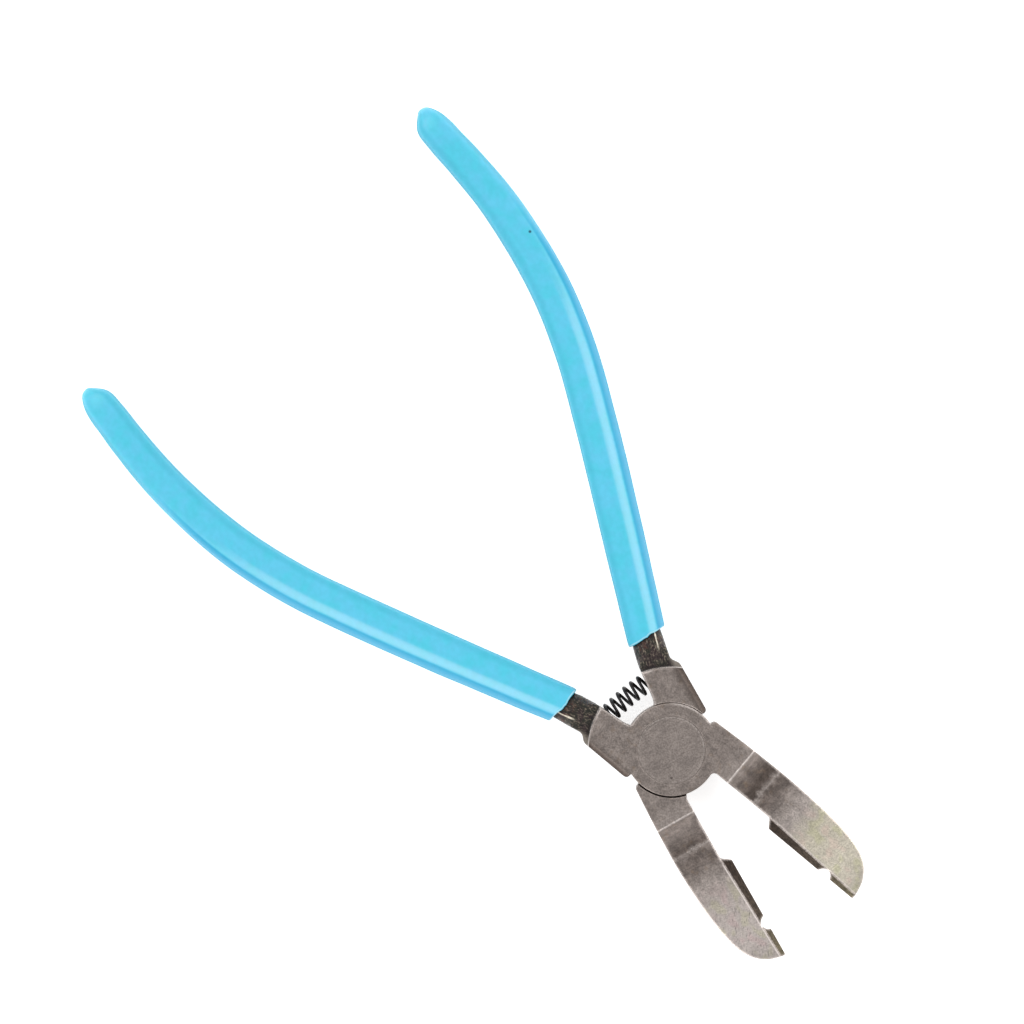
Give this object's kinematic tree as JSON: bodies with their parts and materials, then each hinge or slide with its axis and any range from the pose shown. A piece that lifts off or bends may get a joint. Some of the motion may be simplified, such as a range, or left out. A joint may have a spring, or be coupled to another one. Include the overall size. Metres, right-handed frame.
{
  "type": "running pliers",
  "caption": "Spring-return lap-joint pliers with long curved dipped grips and thin, bevelled, notched jaws that close edge to edge.",
  "frame": {"origin": "on the pivot axis, at the underside of the lap joint and of the rivet", "axes": "+X from the pivot towards the noses of the jaws along the centre line of the open pliers, +Z along the pivot axis from the underside to the face with the bevels"},
  "size_m": [0.1843, 0.0994, 0.01],
  "materials": {
    "forged_steel": "ground matt on the head and blades, dark forged scale on the tangs",
    "rivet_steel": "ground flush, matt",
    "spring_steel": "black oxide, oiled",
    "dipped_pvc": "smooth satin gloss, soft"
  },
  "bodies": {
    "upper_half": {"jaw_arm_upper": "forged_steel", "grip_upper_arm": "dipped_pvc", "pivot_rivet": "rivet_steel", "return_spring": "spring_steel"},
    "lower_half": {"jaw_arm_lower": "forged_steel", "grip_lower_arm": "dipped_pvc"}
  },
  "joints": [
    {"name": "pivot", "type": "hinge", "parent": "upper_half", "child": "lower_half", "pos_m": [0, 0, 0.005], "axis": [0, 0, 1], "range_deg": [-14.8, 20.6], "stiffness_Nm_per_rad": 0.5, "deforming": ["return_spring"]}
  ]
}
